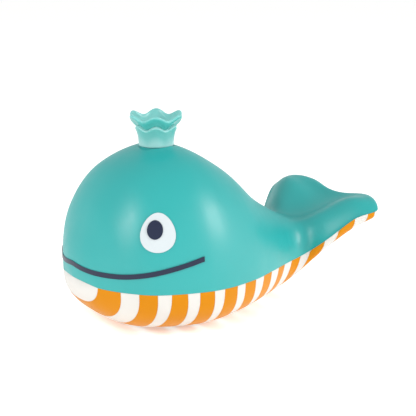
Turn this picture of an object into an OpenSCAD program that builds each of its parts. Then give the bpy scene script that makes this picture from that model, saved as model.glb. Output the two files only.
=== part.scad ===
// Squeaky bath toy: a hollow soft whale with a striped belly and a lift-out crown spout.
// Frame: head towards -X, tail towards +X, +Z up, origin under the middle of the body on the floor.

/* [Body] */
// Nose to tail length
length = 171; // [120:1:240]
// Thickness of the soft skin
wall = 2.6; // [2.2:0.1:3.2]
// Gap left at the glued seam between the two skins
seam_gap = 0.07; // [0.05:0.01:0.1]
// Fullness of the upper cross sections
top_fullness = 2.3; // [2.1:0.05:2.6]
// Fullness of the belly cross sections
under_fullness = 2.44; // [2.1:0.02:2.8]
// Seam distance along the body at each station
seam_x_shares = [-0.4971, -0.4857, -0.4682, -0.4192, -0.3373, -0.1754, -0.0273, 0.0956, 0.2017, 0.2707, 0.3146, 0.3837, 0.4395, 0.4618, 0.4696];
// Half width at the seam at each station
half_width_shares = [0, 0.0741, 0.1327, 0.2147, 0.2691, 0.3036, 0.2681, 0.2035, 0.1356, 0.1278, 0.1855, 0.2377, 0.2665, 0.2539, 0.2172];
// Height of the seam at each station
seam_height_shares = [0.1677, 0.1632, 0.1591, 0.1593, 0.155, 0.1516, 0.1481, 0.1445, 0.1376, 0.1531, 0.2074, 0.2779, 0.2994, 0.3047, 0.3047];
// Crest distance along the body at each station
crest_x_shares = [-0.4971, -0.496, -0.4731, -0.4321, -0.3416, -0.1775, -0.0205, 0.1024, 0.2144, 0.2884, 0.3479, 0.4097, 0.456, 0.4817, 0.4909];
// Height of the crest at each station
crest_height_shares = [0.1677, 0.235, 0.3172, 0.412, 0.5042, 0.5445, 0.4672, 0.3559, 0.2839, 0.2473, 0.2495, 0.2719, 0.2906, 0.3107, 0.3078];
// Keel distance along the body at each station
keel_x_shares = [-0.4971, -0.4977, -0.4609, -0.3839, -0.3049, -0.1622, -0.0255, 0.0943, 0.1978, 0.2736, 0.3409, 0.4077, 0.458, 0.481, 0.4909];
// Height of the keel at each station, before the foot is cut flat
keel_height_shares = [0.1677, 0.133, 0.0724, 0.0208, 0.0012, -0.0091, 0.0022, 0.0148, 0.0281, 0.0634, 0.1475, 0.2011, 0.235, 0.2695, 0.3078];
// Rise of the fluke lobes on top
lobe_top_shares = [0, 0, 0, 0, 0, 0, 0, 0, 0, 0.0146, 0.0424, 0.0543, 0.0403, 0.0235, 0.0197];
// Rise of the fluke lobes underneath
lobe_under_shares = [0, 0, 0, 0, 0, 0, 0, 0, 0, 0, 0, 0.0072, 0.0134, 0.0161, 0.0162];
// Backward sweep of the fluke lobes
lobe_back_shares = [0, 0, 0, 0, 0, 0, 0, 0, 0, 0, 0, 0.0026, 0.0023, 0.0064, 0.0135];
// Station where the hollow in the flukes ends
hollow_end = 11.6; // [11.2:0.1:12]
// Station from which that hollow closes to a rounded end
hollow_round = 10.7; // [10.2:0.1:11]

/* [Belly bands] */
// Stations where the orange bands start
band_starts = [1.76, 3.29, 4.16, 4.66, 5.17, 5.75, 6.47, 7.3, 8.19, 9.26, 10.42, 11.6];
// Stations where the orange bands end
band_ends = [2.69, 3.85, 4.45, 4.94, 5.51, 6.12, 6.89, 7.73, 8.76, 9.92, 11.02, 12.04];
// How far each band's start leans forward at the keel, in stations
band_start_leans = [0.19, 0.41, 0.25, 0.11, 0.12, 0.05, 0.25, 0.47, 0.5, 0.57, 0.57, 0.5];
// How far each band's end leans forward at the keel, in stations
band_end_leans = [0.25, 0.28, 0.08, 0.04, 0.03, 0.03, 0.24, 0.6, 0.52, 0.57, 0.4, 0.44];
// Depth of the band grooves
groove_depth = 0.4; // [0.3:0.05:0.6]
// Clearance round each inlaid band
inlay_gap = 0.03; // [0.02:0.01:0.05]
// Clearance at the ends of a band, in stations
inlay_step = 0.003; // [0.002:0.001:0.006]

/* [Face] */
// Height of the eye's middle, as a share of the length
eye_height_share = 0.3352; // [0.32:0.002:0.35]
// Bearing of the eye's middle from the nose, seen from above the crown
eye_bearing = 61.1; // [56:0.1:66]
// Half height of the eye white
eye_half_height = 9.4; // [8:0.1:11]
// Half width of the eye white in degrees of bearing
eye_half_turn = 10.6; // [9:0.1:12]
// How much narrower the top of the eye is than its foot
eye_taper = 0.1; // [0:0.01:0.3]
// Height of the pupil's middle above the eye's middle
pupil_rise = 1.5; // [0:0.1:4]
// Bearing of the pupil's middle
pupil_bearing = 59.2; // [57:0.1:62]
// Half height of the pupil
pupil_half_height = 4.5; // [4:0.1:6]
// Half width of the pupil in degrees of bearing
pupil_half_turn = 4.8; // [4:0.1:6]
// Height of the lowest part of the mouth line, as a share of the length
mouth_height_share = 0.2036; // [0.196:0.002:0.212]
// Bearing of the lowest part of the mouth line
mouth_low_turn = 25.5; // [22:0.5:30]
// Bearing of the mouth's corner
mouth_end_turn = 88; // [80:1:92]
// Rise of the mouth line at the nose
mouth_front_rise = 1.6; // [0:0.1:4]
// Rise of the mouth line at its corner
mouth_end_rise = 8.4; // [6:0.1:11]
// Thickness of the mouth line as drawn
mouth_band = 2.5; // [1.6:0.1:3.2]
// Height of a printed shape above the skin
print_height = 0.25; // [0.15:0.05:0.4]
// Clearance under a printed shape
print_gap = 0.09; // [0.08:0.01:0.12]

/* [Crown] */
// Station of the dome that carries the crown's axis
crown_station = 4.83; // [4.6:0.01:5]
// Depth of the seat cut in the dome
seat_depth = 1.9; // [1.5:0.1:2.2]
// Radius of the crown's foot
cup_foot_r = 9.2; // [8.8:0.1:9.6]
// Height of the lower tier
cup_height = 9.5; // [9:0.1:10.5]
// How far the lower tier's edge stands out beyond its foot
cup_flare = 1.85; // [1.75:0.05:2.1]
// Outward wave of the lower tier's edge
cup_wave_out = 0.65; // [0.5:0.05:0.8]
// Upward wave of the lower tier's edge
cup_wave_up = 1.2; // [1:0.1:1.4]
// Height of the upper tier's edge above the crown's foot
funnel_height = 15.3; // [15:0.1:16.5]
// How far the upper tier's edge stands out beyond the lower tier's foot
funnel_flare = 4.75; // [4.6:0.05:5]
// Flare of the upper tier from its root to its edge, at even steps of its height
funnel_flare_shares = [0, 0.02, 0.06, 0.14, 0.24, 0.43, 0.7, 0.91, 1];
// Outward wave of the upper tier's edge
funnel_wave_out = 0.9; // [0.8:0.05:1.1]
// Upward wave of the upper tier's edge
funnel_wave_up = 1.4; // [1.2:0.1:1.5]
// Radius of the rounded bead along each tier's edge
crown_bead = 0.75; // [0.7:0.05:0.8]
// Number of scallops round each tier
scallops = 6; // [4:1:8]
// Wall of the crown's tiers
crown_wall = 1.3; // [1.1:0.1:1.5]
// Clearance round the pieces that nest in the lower tier's foot
nest_gap = 0.3; // [0.1:0.05:0.5]
// Thickness of the lower tier's floor
cup_floor = 1.6; // [1.2:0.1:2]
// Radius of the collar's neck through the dome
collar_neck_r = 7.5; // [7.3:0.1:7.9]
// Height of dome wall that the collar grips
collar_grip = 3.2; // [3:0.1:3.4]
// Radius of the thickened ring of skin that carries the collar
collar_boss_r = 11; // [10.4:0.1:11.4]
// Thickness of the collar's flange on the dome
collar_flange = 0.75; // [0.6:0.05:1]
// Thickness of the collar's lip inside the dome
collar_lip = 1.2; // [1:0.1:1.6]
// Radius of the collar's lip inside the dome
collar_lip_r = 10; // [9:0.1:10.4]

/* [Spout and valve] */
// Outer radius of the spout stem
stem_r = 6; // [5.8:0.1:6.2]
// Bore radius of the spout stem
stem_bore_r = 4.2; // [4:0.1:4.4]
// Length of the stem below the crown's foot
stem_drop = 41.4; // [38:0.2:44]
// Radial clearance of the stem in the collar
stem_clearance = 0.05; // [0.03:0.01:0.09]
// Radius of the hole in the valve seat
valve_hole_r = 2.6; // [2:0.1:3]
// Radius of the valve disc
valve_r = 3.7; // [3.4:0.1:3.8]
// Thickness of the valve disc
valve_thick = 1.2; // [0.8:0.1:1.6]
// Lift of the valve disc
valve_lift = 1.5; // [1:0.1:2]
// Hole radius in the bubble screen
screen_hole_r = 0.5; // [0.4:0.05:0.6]
// Thickness of the stem's flange
stem_flange = 1.1; // [0.8:0.1:1.4]
// Thickness of the bubble screen
screen_thick = 1; // [0.8:0.1:1.2]
// Thickness of the valve seat
valve_seat = 2; // [1.4:0.1:2.6]
// Thickness of the valve cage
cage_thick = 1.5; // [1.2:0.1:2]
// Width of the slots in the valve cage
cage_slot = 2.4; // [2:0.1:3]

/* [Squeaker] */
// Squeaker axis distance along the body, as a share of the length
squeaker_place_share = -0.151; // [-0.16:0.001:-0.142]
// Radius of the squeaker housing
squeaker_r = 7.4; // [7:0.1:8]
// Recess of the housing above the floor
squeaker_recess = 0.7; // [0.5:0.1:1]
// Height of the squeaker housing
squeaker_height = 8.6; // [8:0.1:10]
// Radius of the outer air hole
air_hole_r = 1.6; // [1.2:0.1:2]
// Thickness of the housing's floor and flange
squeaker_floor = 1.2; // [1:0.1:1.4]
// Overhang of the housing's flange inside the belly
squeaker_flange = 1.8; // [1.4:0.1:2.2]
// Thickness of the housing's wall
squeaker_wall = 1.1; // [0.9:0.1:1.2]
// Height of the chamber under the reed seat
reed_chamber = 2.4; // [2:0.1:2.8]
// Thickness of the reed seat
reed_seat_thick = 1; // [0.8:0.1:1.2]
// Thickness of the squeaker cap
cap_thick = 1.2; // [1:0.1:1.4]
// Radius of the air holes in the squeaker cap
cap_hole_r = 0.9; // [0.7:0.1:1.1]
// Free length of the reed tongue
reed_length = 7; // [6:0.1:7.6]
// Width of the reed tongue
reed_width = 3; // [2.4:0.1:3.4]
// Thickness of the reed tongue
reed_thick = 0.3; // [0.2:0.05:0.4]
// Clearance between hard pieces that meet
clear = 0.05; // [0.04:0.01:0.08]

/* [Hidden] */
$fn = 64;

teal = [0.29, 0.72, 0.71];
cream = [0.97, 0.95, 0.94];
orange = [0.93, 0.59, 0.14];
ink = [0.21, 0.26, 0.34];
mint = [0.53, 0.8, 0.79];
clear_white = [0.9, 0.93, 0.93];
brass_yellow = [0.8, 0.68, 0.38];

stations = len(seam_x_shares) - 1;
rows = [
    for (i = [0 : stations])
        length * [
            seam_x_shares[i], half_width_shares[i], seam_height_shares[i],
            crest_x_shares[i], crest_height_shares[i],
            keel_x_shares[i], keel_height_shares[i],
            lobe_top_shares[i], lobe_under_shares[i], lobe_back_shares[i]
        ]
];
side_count = 24;
scallop_count = 8;
eye_count = 28;
mouth_count = 64;
ribbon_corners = 4;
seek_rounds = 30;
face_last_station = 6;
half_turn = 180;
ring_share = 0.25;
tangent_share = 0.05;
grip_share = 0.62;
reed_root_share = 0.64;

crown_x = at(crown_station)[3];
seat_z = at(crown_station)[4] - seat_depth;
squeaker_x = length * squeaker_place_share;
eye_z = length * eye_height_share;
pupil_z = eye_z + pupil_rise;
mouth_z = length * mouth_height_share;
foot_z = seat_z + collar_flange + clear;
collar_under_z = seat_z - collar_grip;
cup_floor_z = foot_z + cup_floor;
cup_edge_r = cup_foot_r + cup_flare;
funnel_edge_r = cup_foot_r + funnel_flare;
stem_flange_z = cup_floor_z + clear;
screen_z = stem_flange_z + stem_flange + clear;
funnel_z = screen_z + screen_thick + clear;
nest_r = cup_foot_r - crown_wall - nest_gap;
stem_low_z = foot_z - stem_drop;
valve_z = stem_low_z + valve_seat + clear;
cage_z = valve_z + valve_thick + valve_lift + clear;
reed_seat_z = squeaker_recess + squeaker_floor + reed_chamber + clear;
reed_z = reed_seat_z + reed_seat_thick + clear;
reed_root_x = squeaker_x + reed_length * reed_root_share;
cap_z = squeaker_recess + squeaker_height - cap_thick;

// Skin surface: ten values at any station, by a smooth curve through the rows.

function bend(a, b, c, d, f) =
    0.5 * (2 * b + (c - a) * f + (2 * a - 5 * b + 4 * c - d) * f * f + (3 * b - a - 3 * c + d) * f * f * f);

function at(t) =
    let (i = min(stations - 1, max(0, floor(t))))
    bend(rows[max(i - 1, 0)], rows[i], rows[i + 1], rows[min(i + 2, stations)], t - i);

function power(b, e) = b <= 0 ? 0 : pow(b, e);

function unit(v) = v / norm(v);

// One point of a half section; turn runs from 0 at the left seam to 180 at the right seam.
function section(seam, half, far, lobe, back, full, turn) =
    let (
        c = turn == 90 ? 0 : abs(cos(turn)),
        f = power(sin(turn), 2 / full),
        g = power(c, 4 / full),
        bump = 4 * g * (1 - g),
        side = turn < 90 ? -1 : 1
    )
    [
        seam[0] + (far[0] - seam[0]) * f + back * bump,
        side * half * power(c, 2 / full),
        seam[1] + (far[1] - seam[1]) * f + lobe * bump
    ];

function upper_point(r, turn) =
    section([r[0], r[2]], r[1], [r[3], r[4]], r[7], r[9], top_fullness, turn);

function under_full(t) =
    under_fullness + (top_fullness - under_fullness) * max(0, t - stations + 1);

// Inward direction of the belly section, used for the grooves and the inlays.
function under_inward(t, r, full, turn) =
    let (
        d = at(min(t + tangent_share, stations)) - at(max(t - tangent_share, 0)),
        s = unit([d[0], d[1]]),
        c = turn == 90 ? 0 : abs(cos(turn)),
        y = power(c, 2 - 2 / full) / r[1],
        z = power(sin(turn), 2 - 2 / full) / (r[2] - r[6]),
        side = turn < 90 ? 1 : -1
    )
    unit([y * s[1], side * y * s[0], z]);

// Station of the belly surface that a ring reaches at a turn: each ring leans forward towards the keel.
lean_rows = [
    [0, 0],
    for (k = [0 : len(band_starts) - 1])
        each [[band_starts[k], band_start_leans[k]], [band_ends[k], band_end_leans[k]]],
    [stations, 0]
];

function leaned(ring, turn) = ring - lookup(ring, lean_rows) * sin(turn);

function under_point(ring, turn, depth) =
    let (
        t = leaned(ring, turn),
        r = at(t),
        full = under_full(t),
        p = section([r[0], r[2] - seam_gap], r[1], [r[5], r[6] - seam_gap], r[8], r[9], full, turn),
        q = [p[0], p[1], max(p[2], 0)]
    )
    depth == 0 ? q : q + depth * under_inward(t, r, full, turn);

function outer_point(t, turn, depth, under) =
    under ? under_point(t, turn, depth) : upper_point(at(t), turn);

// Section values of the hollow: the skin moved inwards by the wall, closed to a line in the flukes.
function hollow_row(t) =
    let (
        r = at(t),
        d = at(min(t + tangent_share, stations)) - at(max(t - tangent_share, 0)),
        s = unit([d[0], d[1]]),
        c = unit([d[3], d[4]]),
        k = unit([d[5], d[6]]),
        crest = [r[3] + wall * c[1], r[4] - wall * c[0]],
        keel = [r[5] - wall * k[1], r[6] + wall * k[0]],
        mid = (crest + keel) / 2,
        lobe = (r[7] + r[8]) / 2,
        share = t <= hollow_round ? 1 : sqrt(max(0, 1 - pow((t - hollow_round) / (hollow_last - hollow_round), 2)))
    )
    [
        [r[0] + wall * s[1], r[2]],
        max(r[1] - wall * s[0], wall / 20),
        mid + (crest - mid) * share,
        mid + (keel - mid) * share,
        lobe + (r[7] - lobe) * share,
        lobe + (r[8] - lobe) * share,
        r[9]
    ];

function inner_point(t, turn, under) =
    let (
        h = hollow_row(t),
        p = section(h[0], h[1], under ? h[3] : h[2], under ? h[5] : h[4], h[6], top_fullness, turn)
    )
    under ? [p[0], p[1], max(p[2] - seam_gap, wall)] : p;

// Stations at which the skins are cut into rings: every band edge and even steps between.

bounds = [0, for (i = [0 : len(band_starts) - 1]) each [band_starts[i], band_ends[i]], stations];

function pieces(k) = ceil((bounds[k + 1] - bounds[k]) / ring_share);

function first_ring(k) = k == 0 ? 0 : first_ring(k - 1) + pieces(k - 1);

rings = [
    for (k = [0 : len(bounds) - 2])
        for (j = [0 : pieces(k) - 1])
            bounds[k] + (bounds[k + 1] - bounds[k]) * j / pieces(k),
    stations
];
last_ring = len(rings) - 1;
hollow_rings = max([for (k = [1 : floor(last_ring / 2)]) if (rings[2 * k] <= hollow_end) k]);
hollow_last = rings[2 * hollow_rings];
band_rings = [for (k = [0 : len(band_starts) - 1]) [first_ring(2 * k + 1), first_ring(2 * k + 2)]];

function opens(i) = len([for (b = band_rings) if (b[0] == i) 1]) > 0;

function closes(i) = len([for (b = band_rings) if (b[1] == i) 1]) > 0;

function within(i) = len([for (b = band_rings) if (b[0] < i && i < b[1]) 1]) > 0;

upper_rings = [for (i = [0 : last_ring]) [i, 0]];
under_rings = [
    for (i = [0 : last_ring])
        each (
            opens(i) ? [[i, 0], [i, groove_depth]] :
            closes(i) ? [[i, groove_depth], [i, 0]] :
            [[i, within(i) ? groove_depth : 0]]
        )
];

function turned(faces) = [for (f = faces) [f[0], f[2], f[1]]];

// A hollow half skin, closed along the seam: outside, inside and the strip that joins them.
module half_skin(cut, under) {
    n = side_count;
    h = side_count / 2;
    last = len(cut) - 1;
    k_in = hollow_rings;
    nose = at(0);
    drop = under ? seam_gap : 0;
    outside = [
        [nose[0], 0, nose[2] - drop],
        for (k = [1 : last])
            for (j = [0 : n])
                outer_point(rings[cut[k][0]], half_turn * j / n, cut[k][1], under)
    ];
    inside = [
        [nose[0] + wall, 0, nose[2] - drop],
        for (k = [1 : k_in])
            for (j = [0 : h])
                inner_point(rings[2 * k], half_turn * j / h, under)
    ];
    base = len(outside);
    out_faces = [
        for (j = [0 : n - 1])
            [0, 1 + j, 2 + j],
        for (k = [1 : last - 1])
            for (j = [0 : n - 1])
                let (a = 1 + (k - 1) * (n + 1) + j, b = a + n + 1)
                each [[a, b, b + 1], [a, b + 1, a + 1]]
    ];
    in_faces = [
        for (j = [0 : h - 1])
            [base, base + 2 + j, base + 1 + j],
        for (k = [1 : k_in - 1])
            for (j = [0 : h - 1])
                let (a = base + 1 + (k - 1) * (h + 1) + j, b = a + h + 1)
                each [[a, b + 1, b], [a, a + 1, b + 1]]
    ];
    out_loop = [
        0,
        for (k = [1 : last]) 1 + (k - 1) * (n + 1),
        for (j = [1 : n - 1]) 1 + (last - 1) * (n + 1) + j,
        for (k = [last : -1 : 1]) 1 + (k - 1) * (n + 1) + n
    ];
    in_loop = [
        base,
        for (k = [1 : k_in]) base + 1 + (k - 1) * (h + 1),
        for (j = [1 : h - 1]) base + 1 + (k_in - 1) * (h + 1) + j,
        for (k = [k_in : -1 : 1]) base + 1 + (k - 1) * (h + 1) + h
    ];
    total = len(in_loop);
    match = [
        0,
        for (k = [1 : last]) min(floor(cut[k][0] / 2), k_in),
        for (j = [1 : n - 1]) k_in + floor(j / 2),
        for (k = [last : -1 : 1]) total - min(floor(cut[k][0] / 2), k_in),
        total
    ];
    around = len(out_loop);
    strip = [
        for (a = [0 : around - 1])
            let (o = out_loop[a], p = out_loop[(a + 1) % around])
            each [
                [p, o, in_loop[match[a] % total]],
                for (q = [match[a] : 1 : match[a + 1] - 1])
                    [p, in_loop[q % total], in_loop[(q + 1) % total]]
            ]
    ];
    faces = concat(out_faces, in_faces, strip);
    polyhedron(points = concat(outside, inside), faces = under ? faces : turned(faces), convexity = 8);
}

// One inlaid band: the slice of belly between two rings, as thick as its groove less the clearance.
module band(k) {
    n = side_count;
    first = band_rings[k][0];
    last = band_rings[k][1];
    span = last - first;
    cut = [
        for (i = [first : last])
            rings[i] + (i == first ? inlay_step : i == last ? -inlay_step : 0)
    ];
    outside = [for (t = cut) for (j = [0 : n]) under_point(t, half_turn * j / n, 0)];
    inside = [for (t = cut) for (j = [0 : n]) under_point(t, half_turn * j / n, groove_depth - inlay_gap)];
    base = len(outside);
    sheet = [
        for (i = [0 : span - 1])
            for (j = [0 : n - 1])
                let (a = i * (n + 1) + j, b = a + n + 1)
                each [[a, b, b + 1], [a, b + 1, a + 1]]
    ];
    back = [for (f = turned(sheet)) f + [base, base, base]];
    edge = [
        for (i = [0 : span - 1]) i * (n + 1),
        for (j = [0 : n - 1]) span * (n + 1) + j,
        for (i = [span : -1 : 1]) i * (n + 1) + n,
        for (j = [n : -1 : 1]) j
    ];
    count = len(edge);
    sides = [
        for (a = [0 : count - 1])
            let (o = edge[a], p = edge[(a + 1) % count])
            each [[p, o, base + o], [p, base + o, base + p]]
    ];
    polyhedron(points = concat(outside, inside), faces = concat(sheet, back, sides), convexity = 4);
}

// A skin taken as one closed surface, at its own size.
module one_surface() {
    resize([0, 0, 0])
        union()
            children();
}

// Printed shapes: places on the upper skin, by bearing from the nose (left is positive) and height.

function side_place(t, z) =
    let (
        r = at(t),
        f = (z - r[2]) / (r[4] - r[2]),
        s = power(f, top_fullness / 2)
    )
    f >= 1 ? [r[3], -1] : [r[0] + (r[3] - r[0]) * f, r[1] * power(1 - s * s, 1 / top_fullness)];

function seek(bearing, z, low, high, left) =
    let (
        t = (low + high) / 2,
        p = side_place(t, z)
    )
    left == 0 ? p :
    p[1] < 0 || atan2(p[1], crown_x - p[0]) < bearing ?
        seek(bearing, z, t, high, left - 1) :
        seek(bearing, z, low, t, left - 1);

function skin_place(bearing, z) =
    let (
        p = seek(abs(bearing), z, 0, face_last_station, seek_rounds)
    )
    [p[0], bearing < 0 ? max(p[1], 0) : -max(p[1], 0), z];

function print_place(bearing, z, lift) =
    let (
        across = skin_place(bearing + 0.5, z) - skin_place(bearing - 0.5, z),
        up = skin_place(bearing, z + wall / 10) - skin_place(bearing, z - wall / 10)
    )
    skin_place(bearing, z) + lift * unit(cross(across, up));

// A thin film through rings of places round a middle.
module film(middle, outline, low) {
    n = len(outline);
    lifts = [low, low + print_height];
    layer = 1 + 3 * n;
    points = [
        for (lift = lifts)
            each [
                print_place(middle[0], middle[1], lift),
                for (k = [1 : 3])
                    for (p = outline)
                        let (q = middle + (p - middle) * k / 3)
                        print_place(q[0], q[1], lift)
            ]
    ];
    top = [
        for (j = [0 : n - 1])
            let (i = (j + 1) % n)
            each [
                [0, 1 + j, 1 + i],
                for (k = [0 : 1])
                    each [
                        [1 + k * n + j, 1 + (k + 1) * n + j, 1 + (k + 1) * n + i],
                        [1 + k * n + j, 1 + (k + 1) * n + i, 1 + k * n + i]
                    ]
            ]
    ];
    rim = 1 + 2 * n;
    sides = [
        for (j = [0 : n - 1])
            let (i = (j + 1) % n)
            each [
                [rim + i, rim + j, layer + rim + j],
                [rim + i, layer + rim + j, layer + rim + i]
            ]
    ];
    polyhedron(
        points = points,
        faces = concat(top, [for (f = turned(top)) f + [layer, layer, layer]], sides),
        convexity = 2
    );
}

function mouth_height(bearing) =
    let (b = sqrt(bearing * bearing + 4))
    b < mouth_low_turn ?
        mouth_z + mouth_front_rise * pow(1 - b / mouth_low_turn, 2) :
        mouth_z + mouth_end_rise * pow((b - mouth_low_turn) / (mouth_end_turn - mouth_low_turn), 1.75);

function mouth_half(bearing) =
    let (
        z = mouth_height(bearing),
        step = skin_place(bearing + 0.5, z) - skin_place(bearing - 0.5, z),
        rise = mouth_height(bearing + 0.5) - mouth_height(bearing - 0.5)
    )
    mouth_band / 2 * sqrt(1 + pow(rise / norm(step), 2));

// A wavy tier of the crown: a closed profile of [radius, height, outward share, upward share] round its axis.
module tier(profile, wave_out, wave_up) {
    n = len(profile);
    m = scallops * scallop_count;
    points = [
        for (i = [0 : m - 1])
            let (turn = 360 * i / m, wave = cos(scallops * turn))
            for (p = profile)
                let (r = p[0] + p[2] * wave_out * wave)
                [crown_x + r * cos(turn), r * sin(turn), foot_z + p[1] + p[3] * wave_up * wave]
    ];
    faces = [
        for (i = [0 : m - 1])
            for (j = [0 : n - 1])
                let (
                    a = i * n + j,
                    b = i * n + (j + 1) % n,
                    c = (i + 1) % m * n + j,
                    d = (i + 1) % m * n + (j + 1) % n
                )
                each [[a, b, d], [a, d, c]]
    ];
    polyhedron(points = points, faces = faces, convexity = 6);
}

module upper_shell() {
    color(teal)
        one_surface()
            difference() {
                union() {
                    half_skin(upper_rings, false);
                    translate([crown_x, 0, collar_under_z])
                        cylinder(r = collar_boss_r, h = collar_grip * grip_share);
                }
                translate([crown_x, 0, seat_z])
                    cylinder(r = cup_foot_r + clear * 2, h = cup_foot_r);
                translate([crown_x, 0, collar_under_z - wall])
                    cylinder(r = collar_neck_r + clear, h = seat_z);
            }
}

module belly_shell() {
    color(cream)
        one_surface()
            difference() {
                half_skin(under_rings, true);
                squeaker_hole();
            }
}

module belly_bands() {
    color(orange)
        one_surface()
            difference() {
                union()
                    for (k = [0 : len(band_starts) - 1])
                        band(k);
                squeaker_hole();
            }
}

module squeaker_hole() {
    translate([squeaker_x, 0, -wall])
        cylinder(r = squeaker_r + clear, h = 3 * wall);
}

module eye_white() {
    outline = [
        for (j = [0 : eye_count - 1])
            let (a = 360 * j / eye_count)
            [
                eye_bearing + eye_half_turn * cos(a) * (1 - eye_taper * sin(a)),
                eye_z + eye_half_height * sin(a)
            ]
    ];
    film([eye_bearing, eye_z], outline, print_gap);
}

module pupil() {
    outline = [
        for (j = [0 : eye_count - 1])
            let (a = 360 * j / eye_count)
            [pupil_bearing + pupil_half_turn * cos(a), pupil_z + pupil_half_height * sin(a)]
    ];
    film([pupil_bearing, pupil_z], outline, 2 * print_gap + print_height);
}

module eye_white_left() {
    color(clear_white)
        eye_white();
}

module eye_white_right() {
    color(clear_white)
        mirror([0, 1, 0])
            eye_white();
}

module pupil_left() {
    color(ink)
        pupil();
}

module pupil_right() {
    color(ink)
        mirror([0, 1, 0])
            pupil();
}

module mouth_line() {
    n = mouth_count;
    places = [
        for (i = [0 : n])
            let (
                b = mouth_end_turn * (2 * i / n - 1),
                z = mouth_height(b),
                h = mouth_half(b)
            )
            each [
                print_place(b, z - h, print_gap),
                print_place(b, z + h, print_gap),
                print_place(b, z + h, print_gap + print_height),
                print_place(b, z - h, print_gap + print_height)
            ]
    ];
    end = ribbon_corners * n;
    color(ink)
        polyhedron(
            points = places,
            faces = [
                [0, 1, 2],
                [0, 2, 3],
                [end + 2, end + 1, end],
                [end + 3, end + 2, end],
                for (i = [0 : n - 1])
                    for (j = [0 : ribbon_corners - 1])
                        let (
                            a = ribbon_corners * i + j,
                            b = ribbon_corners * i + (j + 1) % ribbon_corners,
                            c = a + ribbon_corners,
                            d = b + ribbon_corners
                        )
                        each [[a, d, b], [a, c, d]]
            ],
            convexity = 6
        );
}

module neck_grommet() {
    color(teal)
        translate([crown_x, 0, 0])
            difference() {
                union() {
                    translate([0, 0, collar_under_z - collar_lip])
                        cylinder(r = collar_neck_r, h = collar_grip + collar_lip + collar_flange);
                    translate([0, 0, collar_under_z - collar_lip])
                        cylinder(r = collar_lip_r, h = collar_lip - clear);
                    translate([0, 0, seat_z + clear])
                        cylinder(r = cup_foot_r - clear * 4, h = collar_flange - clear);
                }
                translate([0, 0, collar_under_z - collar_lip * 2])
                    cylinder(r = stem_r + stem_clearance, h = seat_z);
            }
}

// The rounded bead along a tier's edge, from the outside over the top to the inside.
function bead(edge_r, height) = [
    for (a = [-40 : 40 : 220])
        [edge_r - crown_wall / 2 + crown_bead * cos(a), height + crown_bead * sin(a), 1, 1]
];

function cup_side(q, inwards) = [
    cup_foot_r + cup_flare * pow(q, 2.2) - inwards,
    cup_height * q,
    pow(q, 2.5),
    pow(q, 2.5)
];

module crown_cup() {
    steps = 6;
    top = 0.86;
    low = crown_wall / 3 / cup_height;
    profile = [
        [stem_r + clear, 0, 0, 0],
        [cup_foot_r - crown_wall / 3, 0, 0, 0],
        for (k = [0 : steps]) cup_side(max(top * k / steps, low), 0),
        each bead(cup_edge_r, cup_height),
        for (k = [steps : -1 : 2]) cup_side(top * k / steps, crown_wall),
        [cup_foot_r - crown_wall, cup_floor, 0, 0],
        [stem_r + clear, cup_floor, 0, 0]
    ];
    color(mint)
        tier(profile, cup_wave_out, cup_wave_up);
}

function funnel_side(k, inwards) =
    let (q = k / (len(funnel_flare_shares) - 1))
    [
        nest_r + (funnel_edge_r - nest_r) * funnel_flare_shares[k] - inwards,
        funnel_z - foot_z + (foot_z + funnel_height - funnel_z) * q,
        pow(q, 0.8),
        1 - pow(1 - q, 3)
    ];

module crown_funnel() {
    last = len(funnel_flare_shares) - 2;
    profile = [
        for (k = [0 : last]) funnel_side(k, 0),
        each bead(funnel_edge_r, funnel_height),
        for (k = [last : -1 : 0]) funnel_side(k, crown_wall)
    ];
    color(mint)
        tier(profile, funnel_wave_out, funnel_wave_up);
}

module bubble_screen() {
    color(clear_white)
        translate([crown_x, 0, screen_z])
            difference() {
                cylinder(r = nest_r, h = screen_thick);
                translate([0, 0, -screen_thick])
                    cylinder(r = screen_hole_r, h = 3 * screen_thick);
                for (ring = [1 : 2])
                    for (i = [0 : 6 * ring - 1])
                        rotate([0, 0, 60 * i / ring])
                            translate([ring * screen_hole_r * 3.4, 0, -screen_thick])
                                cylinder(r = screen_hole_r, h = 3 * screen_thick);
            }
}

module spout_stem() {
    color(mint)
        translate([crown_x, 0, 0])
            difference() {
                union() {
                    translate([0, 0, stem_low_z])
                        cylinder(r = stem_r, h = stem_flange_z + stem_flange - stem_low_z);
                    translate([0, 0, stem_flange_z])
                        cylinder(r = nest_r, h = stem_flange);
                }
                translate([0, 0, stem_low_z + valve_seat])
                    cylinder(r = stem_bore_r, h = seat_z);
                translate([0, 0, stem_low_z - valve_seat])
                    cylinder(r = valve_hole_r, h = 3 * valve_seat);
            }
}

module valve_disc() {
    color(orange)
        translate([crown_x, 0, valve_z])
            cylinder(r = valve_r, h = valve_thick);
}

module valve_cage() {
    color(clear_white)
        translate([crown_x, 0, cage_z])
            difference() {
                cylinder(r = stem_bore_r - clear, h = cage_thick);
                translate([0, 0, -cage_thick])
                    cylinder(r = valve_hole_r, h = 3 * cage_thick);
                for (i = [0 : 2])
                    rotate([0, 0, 120 * i + 60])
                        translate([0, -cage_slot / 2, -cage_thick])
                            cube([stem_bore_r * 0.8, cage_slot, 3 * cage_thick]);
            }
}

module squeaker_housing() {
    color(clear_white)
        translate([squeaker_x, 0, 0])
            difference() {
                union() {
                    translate([0, 0, squeaker_recess])
                        cylinder(r = squeaker_r, h = squeaker_height);
                    translate([0, 0, wall + clear * 2])
                        cylinder(r = squeaker_r + squeaker_flange, h = squeaker_floor);
                }
                translate([0, 0, squeaker_recess + squeaker_floor])
                    cylinder(r = squeaker_r - 2 * squeaker_wall, h = squeaker_height);
                translate([0, 0, squeaker_recess + squeaker_floor + reed_chamber])
                    cylinder(r = squeaker_r - squeaker_wall, h = squeaker_height);
                translate([0, 0, -squeaker_floor])
                    cylinder(r = air_hole_r, h = 4 * squeaker_floor);
            }
}

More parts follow.
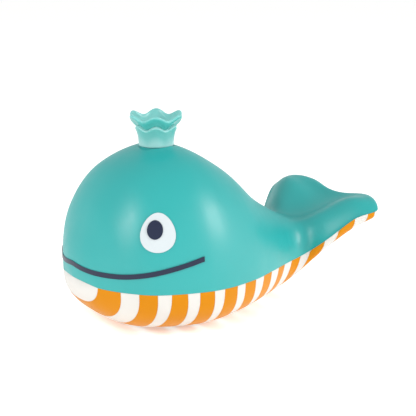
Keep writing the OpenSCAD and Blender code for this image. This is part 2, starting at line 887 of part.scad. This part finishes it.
module reed_seat() {
    color(orange)
        translate([squeaker_x, 0, reed_seat_z])
            difference() {
                cylinder(r = squeaker_r - squeaker_wall - clear, h = reed_seat_thick);
                translate([-reed_length * 0.4, -reed_width * 0.3, -reed_seat_thick])
                    cube([reed_length * 0.8, reed_width * 0.6, 3 * reed_seat_thick]);
            }
}

module reed_tongue() {
    color(brass_yellow)
        translate([reed_root_x - reed_length * 1.15, -reed_width / 2, reed_z])
            cube([reed_length * 1.15, reed_width, reed_thick]);
}

module squeaker_cap() {
    r = squeaker_r - squeaker_wall - clear;
    color(clear_white)
        union() {
            translate([squeaker_x, 0, cap_z])
                difference() {
                    cylinder(r = r, h = cap_thick - clear);
                    for (i = [0 : 3])
                        rotate([0, 0, 90 * i + 45])
                            translate([r * 0.55, 0, -cap_thick])
                                cylinder(r = cap_hole_r, h = 3 * cap_thick);
                }
            translate([reed_root_x - reed_length * 0.15, -reed_width / 2, reed_z + reed_thick + 4 * clear])
                cube([reed_length * 0.15, reed_width, cap_z + clear - reed_z - reed_thick - 4 * clear]);
        }
}

upper_shell();
belly_shell();
belly_bands();
eye_white_left();
eye_white_right();
pupil_left();
pupil_right();
mouth_line();
neck_grommet();
crown_cup();
crown_funnel();
bubble_screen();
spout_stem();
valve_disc();
valve_cage();
squeaker_housing();
reed_seat();
reed_tongue();
squeaker_cap();
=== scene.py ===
import math

import bpy
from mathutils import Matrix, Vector


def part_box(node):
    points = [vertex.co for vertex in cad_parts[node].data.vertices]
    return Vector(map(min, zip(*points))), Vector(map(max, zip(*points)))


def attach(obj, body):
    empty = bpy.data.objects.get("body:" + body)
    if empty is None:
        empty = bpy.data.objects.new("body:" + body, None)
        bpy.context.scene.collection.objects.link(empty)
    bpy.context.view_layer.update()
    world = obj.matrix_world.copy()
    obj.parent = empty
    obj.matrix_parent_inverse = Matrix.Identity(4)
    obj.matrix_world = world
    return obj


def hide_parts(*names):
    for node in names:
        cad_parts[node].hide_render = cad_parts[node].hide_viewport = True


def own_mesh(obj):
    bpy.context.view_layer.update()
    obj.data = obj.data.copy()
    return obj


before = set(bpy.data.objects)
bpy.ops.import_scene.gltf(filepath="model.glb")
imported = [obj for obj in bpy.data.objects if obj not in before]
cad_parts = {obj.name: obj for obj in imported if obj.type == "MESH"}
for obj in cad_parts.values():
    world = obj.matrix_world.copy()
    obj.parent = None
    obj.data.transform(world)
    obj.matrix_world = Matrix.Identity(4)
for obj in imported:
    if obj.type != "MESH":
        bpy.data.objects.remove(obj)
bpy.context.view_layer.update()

bl_info = {
    "name": "Squeaky Bath Toy",
    "version": (1, 0, 0),
    "blender": (4, 5, 0),
    "location": "3D View > Sidebar > Bath Toy",
    "description": "Dresses the packed bath toy: skins, bands, face, crown spout, squeaker and studio",
    "category": "Object",
}

CROWN_LOW, CROWN_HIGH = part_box("crown_cup")

# How far the collar's seat lies below the crown's foot
SEAT_DROP = 0.0008

# Corners of a copied mesh that are nearer than this are one point
MERGE_DISTANCE = 1e-6

# A point is on the crown's inner wall where its normal leans more than this towards the crown's axis
INNER_LEAN = 0.2

# How far down from the lower tier's highest point its inside is thickened
LIP_REACH = 0.004

# Sectors in each radian round the crown in which the height of its wavy rim is looked up
RIM_SECTORS = 12

# Height of the painted highlight on the rim of a tier, and of the fade below it
RIM_HEIGHT = 0.0008

# Depth below the rim at which the painted light on the outer wall would begin to grow, and the height over
# which it does
WALL_START = 0.003
WALL_FADE = 0.006

# Share of the painted light at the foot that the outer wall never falls below
WALL_LEAST = 0.3

# Width of the floor
FLOOR_SIZE = 12

# The table's own light is full within this share of its spread, and falls to this share of its strength
FULL_GLOW = 1 / 3
FAR_GLOW = 0.8

# Rise of a ray, from 0 level to 1 straight up, between which the walls' light turns into the room's
WALL_TOP = 0.15
CEILING = 0.4

# Lens and sensor width in millimetres, and the picture's shift in shares of the sensor's width
LENS = 102.7
SENSOR = 36
SHIFT_X = -0.0140
SHIFT_Y = 0.0589


# Settings


def linear(colour):
    """The linear red, green and blue of an sRGB hex colour."""
    values = [int(colour[i : i + 2], 16) / 255 for i in (0, 2, 4)]
    return [v / 12.92 if v <= 0.04045 else ((v + 0.055) / 1.055) ** 2.4 for v in values]


def colour_setting(name, description, value):
    return bpy.props.FloatVectorProperty(
        name=name, description=description, default=linear(value), subtype="COLOR", size=3, min=0, max=1
    )


def length_setting(name, description, value):
    return bpy.props.FloatProperty(
        name=name,
        description=description,
        default=value,
        unit="LENGTH",
        subtype="DISTANCE",
        min=0,
        precision=5,
    )


def share_setting(name, description, value):
    return bpy.props.FloatProperty(
        name=name, description=description, default=value, subtype="FACTOR", min=0, max=1
    )


def strength_setting(name, description, value):
    return bpy.props.FloatProperty(name=name, description=description, default=value, min=0)


def angle_setting(name, description, degrees):
    return bpy.props.FloatProperty(
        name=name,
        description=description,
        default=math.radians(degrees),
        unit="ROTATION",
        subtype="ANGLE",
    )


class SkinSettings(bpy.types.PropertyGroup):
    upper: colour_setting("Upper skin", "Vinyl colour of the whale's upper half", "1A9B99")
    belly: colour_setting("Belly skin", "Vinyl colour of the belly between its bands", "CFCDC8")
    bands: colour_setting("Belly bands", "Vinyl colour of the bands let into the belly", "C87D03")
    grain: length_setting("Mould grain", "Distance between the peaks of the mould's fine grain", 0.0007)
    slump: length_setting("Wall slump", "Length of the slow waves of a rotation moulded wall", 0.016)
    patch: length_setting("Sheen patches", "Size of the skin's more and less matt patches", 0.006)
    roughness: share_setting("Roughness", "Roughness of the satin vinyl", 0.42)
    seat: length_setting(
        "Collar seat",
        "Height of the seat in the dome that the squeeze pushes down",
        CROWN_LOW.z - SEAT_DROP,
    )


class PrintSettings(bpy.types.PropertyGroup):
    white: colour_setting("Eye white", "Ink colour of the eye whites", "C0C8CB")
    dark: colour_setting("Dark ink", "Ink colour of the pupils and the mouth line", "141E38")
    pitch: length_setting("Ink ridges", "Distance between the faint ridges of the printed film", 0.0005)


class CrownSettings(bpy.types.PropertyGroup):
    # The crown's own colour, and a lighter colour that is painted light: a painted highlight on the tiers'
    # rims, and painted light inside them and down their outer walls
    tiers: colour_setting("Crown", "Colour of the thick parts of the crown's two tiers", "48AFA9")
    painted_light_tone: colour_setting("Crown painted light", "Colour of the tiers where their plastic catches the light", "92CBC8")
    clearness: share_setting("Clearness", "Share of the light that passes through the frosted tiers", 0.12)
    roughness: share_setting("Roughness", "Roughness of the crown's frosted plastic", 0.32)
    frost: length_setting("Frosting", "Size of the grains of the frosted surface", 0.0006)
    lip: length_setting("Lip", "How far the lower tier's rim thickens towards the upper tier", 0.0007)
    screen: colour_setting("Screen", "Colour of the screen and the valve cage", "E7EEEE")
    valve: colour_setting("Valve", "Colour of the rubber valve disc", "E58B2A")


class SqueakerSettings(bpy.types.PropertyGroup):
    housing: colour_setting("Housing", "Colour of the squeaker's housing and cap", "EDEBE6")
    seat: colour_setting("Reed seat", "Colour of the reed's seat", "E3A13C")
    reed: colour_setting("Reed", "Colour of the brass reed", "C9A75A")
    rounding: length_setting("Edge rounding", "Rounding of the moulded edges", 0.00014)


class StageSettings(bpy.types.PropertyGroup):
    floor: colour_setting("Floor", "Colour of the floor", "FAFAF9")
    bearing: angle_setting("Camera bearing", "Angle of the camera round the toy", -32.17)
    rise: angle_setting("Camera rise", "Angle of the camera above the floor", 15.03)
    distance: length_setting("Camera distance", "Distance of the camera from the point it looks at", 0.65)
    aim: bpy.props.FloatVectorProperty(
        name="Aim",
        description="Point that the camera looks at",
        default=(0.0002, 0, 0.04),
        subtype="XYZ",
        unit="LENGTH",
        size=3,
    )
    glow: strength_setting("Floor light", "Strength of the table's own light under the toy", 0.37)
    spread: length_setting("Light spread", "Distance from the toy at which that light is weakest", 0.24)
    room: strength_setting("Room light", "Strength of the even white light from the room above", 0.7)
    wall: strength_setting("Wall light", "Strength of the room's white walls near the floor", 1)
    key: strength_setting("Soft boxes", "Power of each soft box in watts, before its own share", 3.8)


SETTINGS = {
    "bath_toy_skin": SkinSettings,
    "bath_toy_print": PrintSettings,
    "bath_toy_crown": CrownSettings,
    "bath_toy_squeaker": SqueakerSettings,
    "bath_toy_stage": StageSettings,
}


# Meshes


def select_only(piece):
    bpy.ops.object.select_all(action="DESELECT")
    piece.select_set(True)
    bpy.context.view_layer.objects.active = piece


def taken_from(node, name):
    """A copy of a node's mesh as a piece of its own, with its loose triangles merged."""
    piece = bpy.data.objects.new(name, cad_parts[node].data.copy())
    bpy.context.scene.collection.objects.link(piece)
    piece.data.materials.clear()
    select_only(piece)
    bpy.ops.mesh.customdata_custom_splitnormals_clear()
    bpy.ops.object.mode_set(mode="EDIT")
    bpy.ops.mesh.select_all(action="SELECT")
    bpy.ops.mesh.remove_doubles(threshold=MERGE_DISTANCE)
    bpy.ops.object.mode_set(mode="OBJECT")
    return piece


def from_crown_axis(vertex):
    """The level vector from the crown's axis to a vertex."""
    axis = (CROWN_LOW + CROWN_HIGH) / 2
    return Vector((vertex.co.x - axis.x, vertex.co.y - axis.y, 0))


def thickened_inside(piece, reach, by):
    """Thickens the inside of a tier over the given reach below its highest point."""
    select_only(piece)
    bpy.ops.object.mode_set(mode="EDIT")
    bpy.ops.mesh.select_mode(type="VERT")
    bpy.ops.mesh.select_all(action="DESELECT")
    bpy.ops.object.mode_set(mode="OBJECT")
    top = max(vertex.co.z for vertex in piece.data.vertices)
    for vertex in piece.data.vertices:
        lean = -vertex.normal.dot(from_crown_axis(vertex).normalized())
        vertex.select = vertex.co.z > top - reach and lean > INNER_LEAN
    bpy.ops.object.mode_set(mode="EDIT")
    bpy.ops.transform.shrink_fatten(value=by)
    bpy.ops.object.mode_set(mode="OBJECT")


def apply_modifier(piece, kind, **settings):
    select_only(piece)
    modifier = piece.modifiers.new(kind.title(), kind)
    for name, value in settings.items():
        setattr(modifier, name, value)
    bpy.ops.object.modifier_apply(modifier=modifier.name)


def softened(piece, levels, crease_above):
    """Subdivides a merged copy to a smooth skin, and keeps edges crisp that turn more than crease_above."""
    select_only(piece)
    bpy.ops.object.mode_set(mode="EDIT")
    bpy.ops.mesh.select_mode(type="EDGE")
    bpy.ops.mesh.select_all(action="SELECT")
    bpy.ops.mesh.tris_convert_to_quads(face_threshold=math.radians(40), shape_threshold=math.radians(60))
    bpy.ops.mesh.select_all(action="DESELECT")
    bpy.ops.mesh.edges_select_sharp(sharpness=crease_above)
    bpy.ops.transform.edge_crease(value=1)
    bpy.ops.object.mode_set(mode="OBJECT")
    apply_modifier(piece, "SUBSURF", levels=levels, render_levels=levels)
    select_only(piece)
    bpy.ops.object.shade_smooth_by_angle(angle=math.radians(50))


def moulded(piece, rounding):
    """Rounds the edges of a hard piece as its mould does, after its flat faces are made whole."""
    select_only(piece)
    bpy.ops.object.mode_set(mode="EDIT")
    bpy.ops.mesh.select_all(action="SELECT")
    bpy.ops.mesh.dissolve_limited(angle_limit=math.radians(1))
    bpy.ops.object.mode_set(mode="OBJECT")
    apply_modifier(
        piece,
        "BEVEL",
        width=rounding,
        segments=2,
        limit_method="ANGLE",
        angle_limit=math.radians(40),
        use_clamp_overlap=True,
    )
    select_only(piece)
    bpy.ops.object.shade_smooth_by_angle(angle=math.radians(35))


def painted_light_on_tiers(piece, rim, foot, inside):
    """Notes how much painted light each point of a tier gets: a painted highlight at its rim, painted light
    inside, and on its outer wall more and more towards the foot.
    """

    def sector(vertex):
        out = from_crown_axis(vertex)
        return round(math.atan2(out.y, out.x) * RIM_SECTORS)

    rims = {}
    for vertex in piece.data.vertices:
        place = sector(vertex)
        rims[place] = max(rims.get(place, 0), vertex.co.z)
    painted_light_shares = piece.data.attributes.new("painted_light_share", "FLOAT", "POINT")
    for vertex in piece.data.vertices:
        below = rims[sector(vertex)] - vertex.co.z
        rim_highlight = rim * max(0, 1 - max(0, below - RIM_HEIGHT) / RIM_HEIGHT)
        wall_light = foot * min(1, max(WALL_LEAST, (below - WALL_START) / WALL_FADE))
        wall = inside if vertex.normal.dot(from_crown_axis(vertex)) < 0 else wall_light
        painted_light_shares.data[vertex.index].value = max(rim_highlight, wall)


def finished(piece, material, body, slot, *nodes):
    """Gives a piece its material and its body, and hides the nodes that it stands for; slot is not used."""
    piece.data.materials.append(material)
    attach(piece, body)
    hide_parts(*nodes)


def soft_piece(node, name, material, slot):
    """Makes a smooth piece of the soft body."""
    piece = taken_from(node, name)
    softened(piece, levels=2, crease_above=math.radians(52))
    finished(piece, material, "toy", slot, node)
    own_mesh(piece)


def hard_piece(node, name, material, body, slot, rounding):
    """Makes a moulded piece with rounded edges."""
    piece = taken_from(node, name)
    moulded(piece, rounding)
    finished(piece, material, body, slot, node)


# Materials


def add(tree, kind, settings=None, inputs=None):
    """Adds a node, sets its properties, and sets or links its inputs by name or number."""
    made = tree.nodes.new(kind)
    for name, value in (settings or {}).items():
        setattr(made, name, value)
    for name, value in (inputs or {}).items():
        if isinstance(value, bpy.types.NodeSocket):
            tree.links.new(value, made.inputs[name])
        else:
            made.inputs[name].default_value = value
    return made


def new_material(name, shader):
    """An empty material whose one shader has these constant values on its own sockets."""
    made = bpy.data.materials.new(name)
    made.use_nodes = True
    made.node_tree.nodes.clear()
    surface = add(made.node_tree, "ShaderNodeBsdfPrincipled", None, shader)
    add(made.node_tree, "ShaderNodeOutputMaterial", None, {"Surface": surface.outputs["BSDF"]})
    return made, made.node_tree, surface


def mottled(tree, place, colour, spread, size):
    """A colour that drifts a little lighter and darker over the given size, as a pigmented plastic does."""
    noise = add(
        tree,
        "ShaderNodeTexNoise",
        None,
        {"Vector": place, "Scale": 1 / size, "Detail": 3.0, "Roughness": 0.5},
    )
    return add(
        tree,
        "ShaderNodeMix",
        {"data_type": "RGBA"},
        {
            "Factor": noise.outputs["Fac"],
            "A": [c * (1 - spread) for c in colour] + [1],
            "B": [min(1, c * (1 + spread)) for c in colour] + [1],
        },
    )


def uneven(tree, surface, place, size, middle, spread, detail=3.0, grain=0.5):
    """Lets the roughness drift round its middle over the given size, and returns the pattern it follows."""
    noise = add(
        tree,
        "ShaderNodeTexNoise",
        None,
        {"Vector": place, "Scale": 1 / size, "Detail": detail, "Roughness": grain},
    )
    rough = add(
        tree,
        "ShaderNodeMapRange",
        None,
        {
            "Value": noise.outputs["Fac"],
            "From Min": 0.3,
            "From Max": 0.7,
            "To Min": middle - spread,
            "To Max": middle + spread,
        },
    )
    tree.links.new(rough.outputs["Result"], surface.inputs["Roughness"])
    return noise.outputs["Fac"]


def soft_vinyl(name, colour, light_depth, shine):
    """Soft PVC, moulded: a satin skin with a fine grain, slow waves in its wall and a little depth."""
    skin = bpy.context.scene.bath_toy_skin
    made, tree, surface = new_material(
        name,
        {
            "IOR": 1.53,
            "Specular IOR Level": shine,
            # The highlights are a little warmer than the lamps' white, as in the photo
            "Specular Tint": (1, 0.85, 0.85, 1),
            "Subsurface Weight": light_depth,
            # Light spreads about 3 mm in the skin
            "Subsurface Radius": (0.003, 0.003, 0.003),
            "Subsurface Scale": 1.0,
        },
    )
    place = add(tree, "ShaderNodeTexCoord").outputs["Object"]
    tone = mottled(tree, place, colour, spread=0.025, size=0.03)
    # A mould's real grain is too fine to show, so it is drawn about as coarse as it needs to be
    grain = add(
        tree,
        "ShaderNodeTexVoronoi",
        {"feature": "SMOOTH_F1"},
        {"Vector": place, "Scale": 1 / skin.grain, "Smoothness": 0.8},
    )
    waves = add(
        tree,
        "ShaderNodeTexNoise",
        None,
        {"Vector": place, "Scale": 1 / skin.slump, "Detail": 1.0, "Roughness": 0.4},
    )
    uneven(tree, surface, place, skin.patch, skin.roughness, spread=0.03, detail=4.0, grain=0.6)
    low = add(
        tree,
        "ShaderNodeBump",
        None,
        {"Height": waves.outputs["Fac"], "Strength": 0.25, "Distance": 0.0002},
    )
    fine = add(
        tree,
        "ShaderNodeBump",
        None,
        {
            "Height": grain.outputs["Distance"],
            "Normal": low.outputs["Normal"],
            "Strength": 0.12,
            "Distance": 0.00004,
        },
    )
    tree.links.new(tone.outputs["Result"], surface.inputs["Base Color"])
    tree.links.new(fine.outputs["Normal"], surface.inputs["Normal"])
    return made


def printed_ink(name, colour, rough):
    """Vinyl ink, pad printed: a thin even film, a little glossier than the skin, with faint ridges."""
    pitch = bpy.context.scene.bath_toy_print.pitch
    made, tree, surface = new_material(name, {"IOR": 1.5, "Roughness": rough, "Specular IOR Level": 0.4})
    place = add(tree, "ShaderNodeTexCoord").outputs["Object"]
    tone = mottled(tree, place, colour, spread=0.02, size=0.006)
    # A printed film's real ridges are too fine to show, so they are drawn coarser
    ridges = add(tree, "ShaderNodeTexNoise", None, {"Vector": place, "Scale": 1 / pitch, "Detail": 2.0})
    bump = add(
        tree,
        "ShaderNodeBump",
        None,
        {"Height": ridges.outputs["Fac"], "Strength": 0.08, "Distance": 0.00003},
    )
    tree.links.new(tone.outputs["Result"], surface.inputs["Base Color"])
    tree.links.new(bump.outputs["Normal"], surface.inputs["Normal"])
    return made


def frosted_plastic(name, rough):
    """Polypropylene, moulded and frosted: milky, with light inside it, and lighter with painted light where
    a piece notes it.
    """
    crown = bpy.context.scene.bath_toy_crown
    made, tree, surface = new_material(
        name,
        {
            "IOR": 1.49,
            "Specular IOR Level": 0.5,
            "Transmission Weight": crown.clearness,
            "Subsurface Weight": 0.35,
            # Light spreads 4 to 5 mm in the tiers
            "Subsurface Radius": (0.004, 0.005, 0.005),
            "Subsurface Scale": 1.0,
        },
    )
    place = add(tree, "ShaderNodeTexCoord").outputs["Object"]
    plain = mottled(tree, place, crown.tiers, spread=0.03, size=0.008)
    # The share of painted light that the piece noted at each point
    share = add(tree, "ShaderNodeAttribute", {"attribute_type": "GEOMETRY", "attribute_name": "painted_light_share"})
    tone = add(
        tree,
        "ShaderNodeMix",
        {"data_type": "RGBA"},
        {"Factor": share.outputs["Fac"], "A": plain.outputs["Result"], "B": list(crown.painted_light_tone) + [1]},
    )
    # Real frosting is too fine to show, so its grains are drawn coarser
    frost = uneven(tree, surface, place, crown.frost, rough, spread=0.04)
    bump = add(tree, "ShaderNodeBump", None, {"Height": frost, "Strength": 0.1, "Distance": 0.00004})
    tree.links.new(tone.outputs["Result"], surface.inputs["Base Color"])
    tree.links.new(bump.outputs["Normal"], surface.inputs["Normal"])
    return made


def hard_plastic(name, colour, rough):
    """ABS or polypropylene, injection moulded: even and slightly glossy, with a faint 3 mm flow pattern."""
    made, tree, surface = new_material(name, {"IOR": 1.52, "Specular IOR Level": 0.5})
    place = add(tree, "ShaderNodeTexCoord").outputs["Object"]
    tone = mottled(tree, place, colour, spread=0.02, size=0.005)
    flow = uneven(tree, surface, place, 0.003, rough, spread=0.05)
    bump = add(tree, "ShaderNodeBump", None, {"Height": flow, "Strength": 0.06, "Distance": 0.00005})
    tree.links.new(tone.outputs["Result"], surface.inputs["Base Color"])
    tree.links.new(bump.outputs["Normal"], surface.inputs["Normal"])
    return made


def silicone_rubber(name, colour):
    """Silicone rubber, die cut: a matt, slightly dusty disc."""
    made, tree, surface = new_material(
        name, {"IOR": 1.43, "Roughness": 0.6, "Sheen Weight": 0.15, "Sheen Roughness": 0.5}
    )
    place = add(tree, "ShaderNodeTexCoord").outputs["Object"]
    tone = mottled(tree, place, colour, spread=0.05, size=0.0015)
    tree.links.new(tone.outputs["Result"], surface.inputs["Base Color"])
    return made


def rolled_brass(name, colour):
    """Brass, rolled strip: fine scratches along the strip break up its reflections."""
    made, tree, surface = new_material(name, {"Metallic": 1.0})
    place = add(tree, "ShaderNodeTexCoord").outputs["Object"]
    stretched = add(tree, "ShaderNodeMapping", None, {"Vector": place, "Scale": (0.06, 1, 1)})
    # The scratches are 0.1 mm wide, which is coarser than real ones
    uneven(tree, surface, stretched.outputs["Vector"], 0.0001, 0.3, spread=0.08, detail=2.0)
    tone = mottled(tree, place, colour, spread=0.06, size=0.002)
    tree.links.new(tone.outputs["Result"], surface.inputs["Base Color"])
    return made


# Studio


def from_toy(bearing, rise):
    """The direction out from the toy at a bearing round it and a rise above the floor, in radians."""
    return Vector((math.sin(bearing) * math.cos(rise), -math.cos(bearing) * math.cos(rise), math.sin(rise)))


def looking_back(thing, out):
    """Turns a lamp or a camera that stands out from the toy to face it."""
    thing.rotation_euler = out.to_track_quat("Z", "Y").to_euler()


def light_table(stage):
    """Opal acrylic, lit from below: a matt white floor whose own light keeps the toy's shadow faint."""
    bpy.ops.object.select_all(action="DESELECT")
    bpy.ops.mesh.primitive_plane_add(size=FLOOR_SIZE, location=(0, 0, 0))
    floor = bpy.context.object
    floor.name = "floor"
    matt = {"Roughness": 0.9, "Specular IOR Level": 0.1, "Emission Color": (1, 1, 1, 1)}
    paint, tree, surface = new_material("Opal acrylic light table, matt white", matt)
    place = add(tree, "ShaderNodeTexCoord").outputs["Object"]
    tone = mottled(tree, place, stage.floor, spread=0.004, size=0.2)
    out = add(tree, "ShaderNodeVectorMath", {"operation": "LENGTH"}, {0: place})
    glow = add(
        tree,
        "ShaderNodeMapRange",
        {"interpolation_type": "SMOOTHSTEP"},
        {
            "Value": out.outputs["Value"],
            "From Min": stage.spread * FULL_GLOW,
            "From Max": stage.spread,
            "To Min": stage.glow,
            "To Max": stage.glow * FAR_GLOW,
        },
    )
    tree.links.new(tone.outputs["Result"], surface.inputs["Base Color"])
    tree.links.new(glow.outputs["Result"], surface.inputs["Emission Strength"])
    floor.data.materials.append(paint)


def white_room(stage):
    """Even white light from all round, brighter from the walls near the floor than from above."""
    world = bpy.data.worlds.new("White room")
    world.use_nodes = True
    tree = world.node_tree
    tree.nodes.clear()
    ray = add(tree, "ShaderNodeTexCoord").outputs["Generated"]
    rise = add(tree, "ShaderNodeSeparateXYZ", None, {"Vector": ray}).outputs["Z"]
    strength = add(
        tree,
        "ShaderNodeMapRange",
        {"interpolation_type": "SMOOTHSTEP"},
        {
            "Value": rise,
            "From Min": WALL_TOP,
            "From Max": CEILING,
            "To Min": stage.wall,
            "To Max": stage.room,
        },
    ).outputs["Result"]
    light = add(tree, "ShaderNodeBackground", None, {"Color": (1, 1, 1, 1), "Strength": strength})
    add(tree, "ShaderNodeOutputWorld", None, {"Surface": light.outputs["Background"]})
    bpy.context.scene.world = world


def soft_boxes(stage):
    """Two soft boxes, left and right of the camera, that give the highlights on the head and the flukes."""
    for name, bearing, rise, away, width, height, share in (
        ("soft box left", -71, 30, 0.9, 0.26, 0.34, 0.9),
        ("soft box right", 40, 23, 0.9, 0.28, 0.36, 1.2),
    ):
        out = from_toy(math.radians(bearing), math.radians(rise))
        bpy.ops.object.light_add(type="AREA", location=Vector(stage.aim) + out * away)
        lamp = bpy.context.object
        lamp.name = name
        lamp.data.shape = "RECTANGLE"
        lamp.data.size = width
        lamp.data.size_y = height
        lamp.data.energy = stage.key * share
        looking_back(lamp, out)


def photo_camera(stage):
    """The camera at the photo's viewing angle, with the photo's framing."""
    out = from_toy(stage.bearing, stage.rise)
    bpy.ops.object.camera_add(location=Vector(stage.aim) + out * stage.distance)
    camera = bpy.context.object
    camera.name = "camera"
    looking_back(camera, out)
    camera.data.lens = LENS
    camera.data.sensor_width = SENSOR
    camera.data.shift_x = SHIFT_X
    camera.data.shift_y = SHIFT_Y
    camera.data.clip_start = 0.01
    camera.data.dof.use_dof = False
    bpy.context.scene.camera = camera


# Operators


class BATHTOY_OT_skins(bpy.types.Operator):
    """Make the soft upper skin, the belly skin and the bands let into it"""

    bl_idname = "bathtoy.skins"
    bl_label = "Skins and bands"

    def execute(self, context):
        skin = context.scene.bath_toy_skin
        for node, name, finish, colour, light_depth, shine, slot in (
            ("upper_shell", "skin_upper", "rotation moulded, teal", skin.upper, 0.08, 0.57, "teal_skin"),
            ("belly_shell", "skin_belly", "rotation moulded, white", skin.belly, 0.2, 0.32, "white_skin"),
            ("belly_bands", "skin_bands", "flush inlay, orange", skin.bands, 0.12, 0.12, "orange_ink"),
        ):
            soft_piece(node, name, soft_vinyl("Soft PVC, " + finish, colour, light_depth, shine), slot)
        return {"FINISHED"}


class BATHTOY_OT_face(bpy.types.Operator):
    """Make the printed eyes, pupils and mouth line"""

    bl_idname = "bathtoy.face"
    bl_label = "Printed face"

    def execute(self, context):
        ink = context.scene.bath_toy_print
        white = printed_ink("Vinyl ink, pad printed, white", ink.white, 0.34)
        dark = printed_ink("Vinyl ink, pad printed, dark", ink.dark, 0.36)
        for node, name, material, slot in (
            ("eye_white_left", "print_eye_left", white, "white_print"),
            ("eye_white_right", "print_eye_right", white, "white_print"),
            ("pupil_left", "print_pupil_left", dark, "ink_print"),
            ("pupil_right", "print_pupil_right", dark, "ink_print"),
            ("mouth_line", "print_mouth", dark, "ink_print"),
        ):
            soft_piece(node, name, material, slot)
        return {"FINISHED"}


class BATHTOY_OT_crown(bpy.types.Operator):
    """Make the crown's two frosted tiers with their smooth, wavy rims"""

    bl_idname = "bathtoy.crown"
    bl_label = "Crown tiers"

    def execute(self, context):
        crown = context.scene.bath_toy_crown
        frosted = frosted_plastic("Polypropylene, moulded and frosted, mint", crown.roughness)
        # Shares of painted light for each tier: the painted highlight at its rim, the painted light down its
        # outer wall to the foot, and the painted light inside it
        for node, name, rim, foot, inside in (
            ("crown_cup", "crown_lower_tier", 1.0, 1.0, 1.0),
            ("crown_funnel", "crown_upper_tier", 0.45, 0.15, 0.55),
        ):
            piece = taken_from(node, name)
            if node == "crown_cup":
                thickened_inside(piece, LIP_REACH, crown.lip)
            softened(piece, levels=2, crease_above=math.radians(100))
            painted_light_on_tiers(piece, rim, foot, inside)
            finished(piece, frosted, "crown", "mint_plastic", node)
        return {"FINISHED"}


class BATHTOY_OT_spout(bpy.types.Operator):
    """Make the collar, the bubble screen, the stem and the valve"""

    bl_idname = "bathtoy.spout"
    bl_label = "Collar, stem and valve"

    def execute(self, context):
        skin = context.scene.bath_toy_skin
        crown = context.scene.bath_toy_crown
        rounding = context.scene.bath_toy_squeaker.rounding
        teal = soft_vinyl("Soft PVC, dip moulded, teal", skin.upper, 0.08, 0.57)
        mint = frosted_plastic("Polypropylene, injection moulded, mint", 0.3)
        milky = hard_plastic("Polypropylene, injection moulded, milky", crown.screen, 0.3)
        orange = silicone_rubber("Silicone rubber, die cut, orange", crown.valve)
        for node, name, material, body, slot in (
            ("neck_grommet", "collar", teal, "neck", "collar"),
            ("bubble_screen", "spout_screen", milky, "crown", "clear_plastic"),
            ("spout_stem", "spout_stem_tube", mint, "crown", "mint_plastic"),
            ("valve_cage", "spout_valve_cage", milky, "crown", "clear_plastic"),
            ("valve_disc", "spout_valve_disc", orange, "valve", "valve_rubber"),
        ):
            hard_piece(node, name, material, body, slot, rounding)
        return {"FINISHED"}


class BATHTOY_OT_squeaker(bpy.types.Operator):
    """Make the squeaker: its housing, reed seat, reed and cap"""

    bl_idname = "bathtoy.squeaker"
    bl_label = "Squeaker"

    def execute(self, context):
        squeaker = context.scene.bath_toy_squeaker
        rounding = squeaker.rounding
        white = hard_plastic("ABS, injection moulded, white", squeaker.housing, 0.38)
        amber = hard_plastic("ABS, injection moulded, amber", squeaker.seat, 0.35)
        brass = rolled_brass("Brass, rolled strip", squeaker.reed)
        hard_piece("squeaker_housing", "squeaker_can", white, "toy", "hard_white", rounding)
        hard_piece("reed_seat", "squeaker_reed_seat", amber, "toy", "hard_white", rounding)
        hard_piece("reed_tongue", "squeaker_reed", brass, "reed", "reed_metal", rounding / 3)
        hard_piece("squeaker_cap", "squeaker_lid", white, "toy", "hard_white", rounding)
        return {"FINISHED"}


class BATHTOY_OT_stage(bpy.types.Operator):
    """Set up the pale floor, the soft lights and the camera"""

    bl_idname = "bathtoy.stage"
    bl_label = "Studio"

    def execute(self, context):
        stage = context.scene.bath_toy_stage
        light_table(stage)
        white_room(stage)
        soft_boxes(stage)
        photo_camera(stage)
        context.scene.view_settings.view_transform = "Standard"
        return {"FINISHED"}


OPERATORS = [
    BATHTOY_OT_skins,
    BATHTOY_OT_face,
    BATHTOY_OT_crown,
    BATHTOY_OT_spout,
    BATHTOY_OT_squeaker,
    BATHTOY_OT_stage,
]


# Panel and registration


class BATHTOY_PT_panel(bpy.types.Panel):
    """The toy's steps and their settings"""

    bl_idname = "BATHTOY_PT_panel"
    bl_label = "Bath Toy"
    bl_space_type = "VIEW_3D"
    bl_region_type = "UI"
    bl_category = "Bath Toy"

    def draw(self, context):
        for operator in OPERATORS:
            self.layout.operator(operator.bl_idname)
        for name, group in SETTINGS.items():
            box = self.layout.box()
            for prop in group.__annotations__:
                box.prop(getattr(context.scene, name), prop)


def register():
    for group in SETTINGS.values():
        bpy.utils.register_class(group)
    for name, group in SETTINGS.items():
        setattr(bpy.types.Scene, name, bpy.props.PointerProperty(type=group))
    for operator in OPERATORS:
        bpy.utils.register_class(operator)
    bpy.utils.register_class(BATHTOY_PT_panel)


def unregister():
    bpy.utils.unregister_class(BATHTOY_PT_panel)
    for operator in reversed(OPERATORS):
        bpy.utils.unregister_class(operator)
    for name in SETTINGS:
        delattr(bpy.types.Scene, name)
    for group in reversed(SETTINGS.values()):
        bpy.utils.unregister_class(group)


def main():
    register()
    bpy.ops.bathtoy.skins()
    bpy.ops.bathtoy.face()
    bpy.ops.bathtoy.crown()
    bpy.ops.bathtoy.spout()
    bpy.ops.bathtoy.squeaker()
    bpy.ops.bathtoy.stage()


if __name__ == "__main__":
    main()
